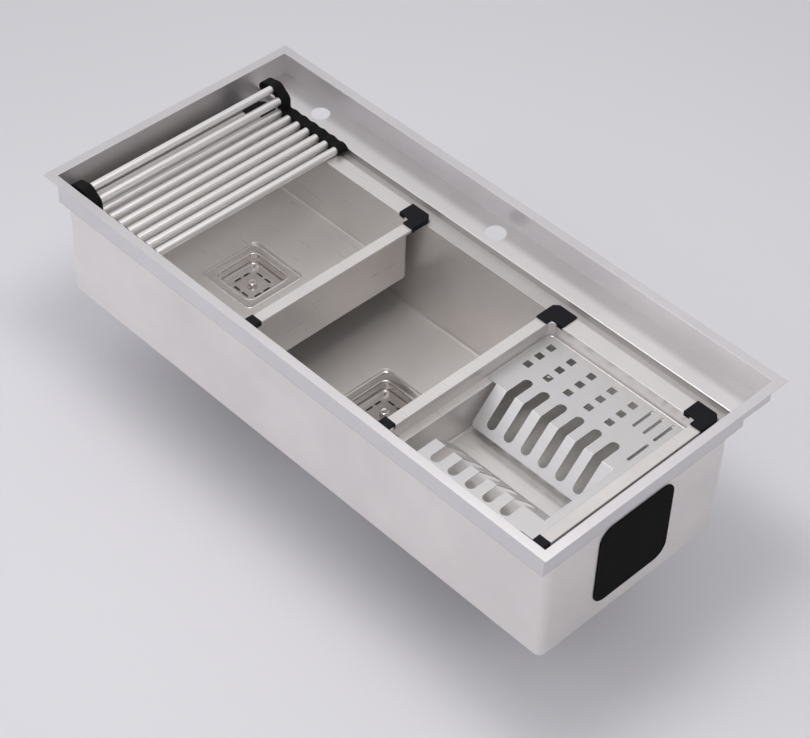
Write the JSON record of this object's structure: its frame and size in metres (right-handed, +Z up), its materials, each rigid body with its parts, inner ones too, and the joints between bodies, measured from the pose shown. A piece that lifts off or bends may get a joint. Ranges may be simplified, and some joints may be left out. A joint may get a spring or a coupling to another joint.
{
  "type": "built-in kitchen sink",
  "caption": "Built-in steel kitchen sink with a sunken tap deck, a ledge, a sliding basin, a sliding tray with a dish rack, and a roll-up drying rack.",
  "frame": {"origin": "centre of the worktop cut-out, in the plane of the flange's underside", "axes": "+X along the sink to its right end, +Y to its back, where the tap deck is, +Z up"},
  "size_m": [1.08, 0.506, 0.3803],
  "materials": {
    "rim_steel": "brushed along its length",
    "deck_steel": "brushed along its length",
    "bowl_steel": "brushed",
    "insert_steel": "brushed",
    "rack_steel": "fine satin",
    "tube_steel": "satin",
    "drain_steel": "half-polished pressing",
    "clip_rubber": "matte",
    "strip_rubber": "matte",
    "pad_rubber": "matte, slightly grained",
    "gasket_rubber": "matte",
    "waste_plastic": "moulded"
  },
  "bodies": {
    "sink": {"rim_frame": "rim_steel", "tap_deck": "deck_steel", "bowl": "bowl_steel", "drain_flange": "drain_steel", "drain_gasket": "gasket_rubber", "waste_cup": "waste_plastic", "waste_screw": "drain_steel", "slip_nut": "waste_plastic", "tailpiece": "waste_plastic", "sound_pad_right": "pad_rubber", "sound_pad_left": "pad_rubber", "sound_pads_floor": "pad_rubber"},
    "strainer": {"strainer_plate": "drain_steel", "strainer_knob": "drain_steel"},
    "basin": {"basin_shell": "insert_steel", "basin_drain_flange": "drain_steel", "basin_clips": "clip_rubber"},
    "basin_strainer": {"basin_strainer_plate": "drain_steel", "basin_strainer_knob": "drain_steel"},
    "tray": {"tray_shell": "insert_steel", "tray_clips": "clip_rubber"},
    "dish_rack": {"dish_rack": "rack_steel"},
    "roll_rack": {"rack_tubes": "tube_steel", "rack_strip_rear": "strip_rubber", "rack_strip_front": "strip_rubber"}
  },
  "joints": [
    {"name": "strainer_lift", "type": "slide", "parent": "sink", "child": "strainer", "axis": [0, 0, 1], "range_m": [0, 0.05]},
    {"name": "basin_slide", "type": "slide", "parent": "sink", "child": "basin", "axis": [1, 0, 0], "range_m": [-0.02, 0.125]},
    {"name": "tray_slide", "type": "slide", "parent": "sink", "child": "tray", "axis": [1, 0, 0], "range_m": [-0.125, 0.02]},
    {"name": "basin_strainer_lift", "type": "slide", "parent": "basin", "child": "basin_strainer", "axis": [0, 0, 1], "range_m": [0, 0.05]},
    {"name": "dish_rack_lift", "type": "slide", "parent": "tray", "child": "dish_rack", "axis": [0, 0, 1], "range_m": [0, 0.06]},
    {"name": "roll_rack_slide", "type": "slide", "parent": "basin", "child": "roll_rack", "axis": [1, 0, 0], "range_m": [0, 0.15]}
  ]
}
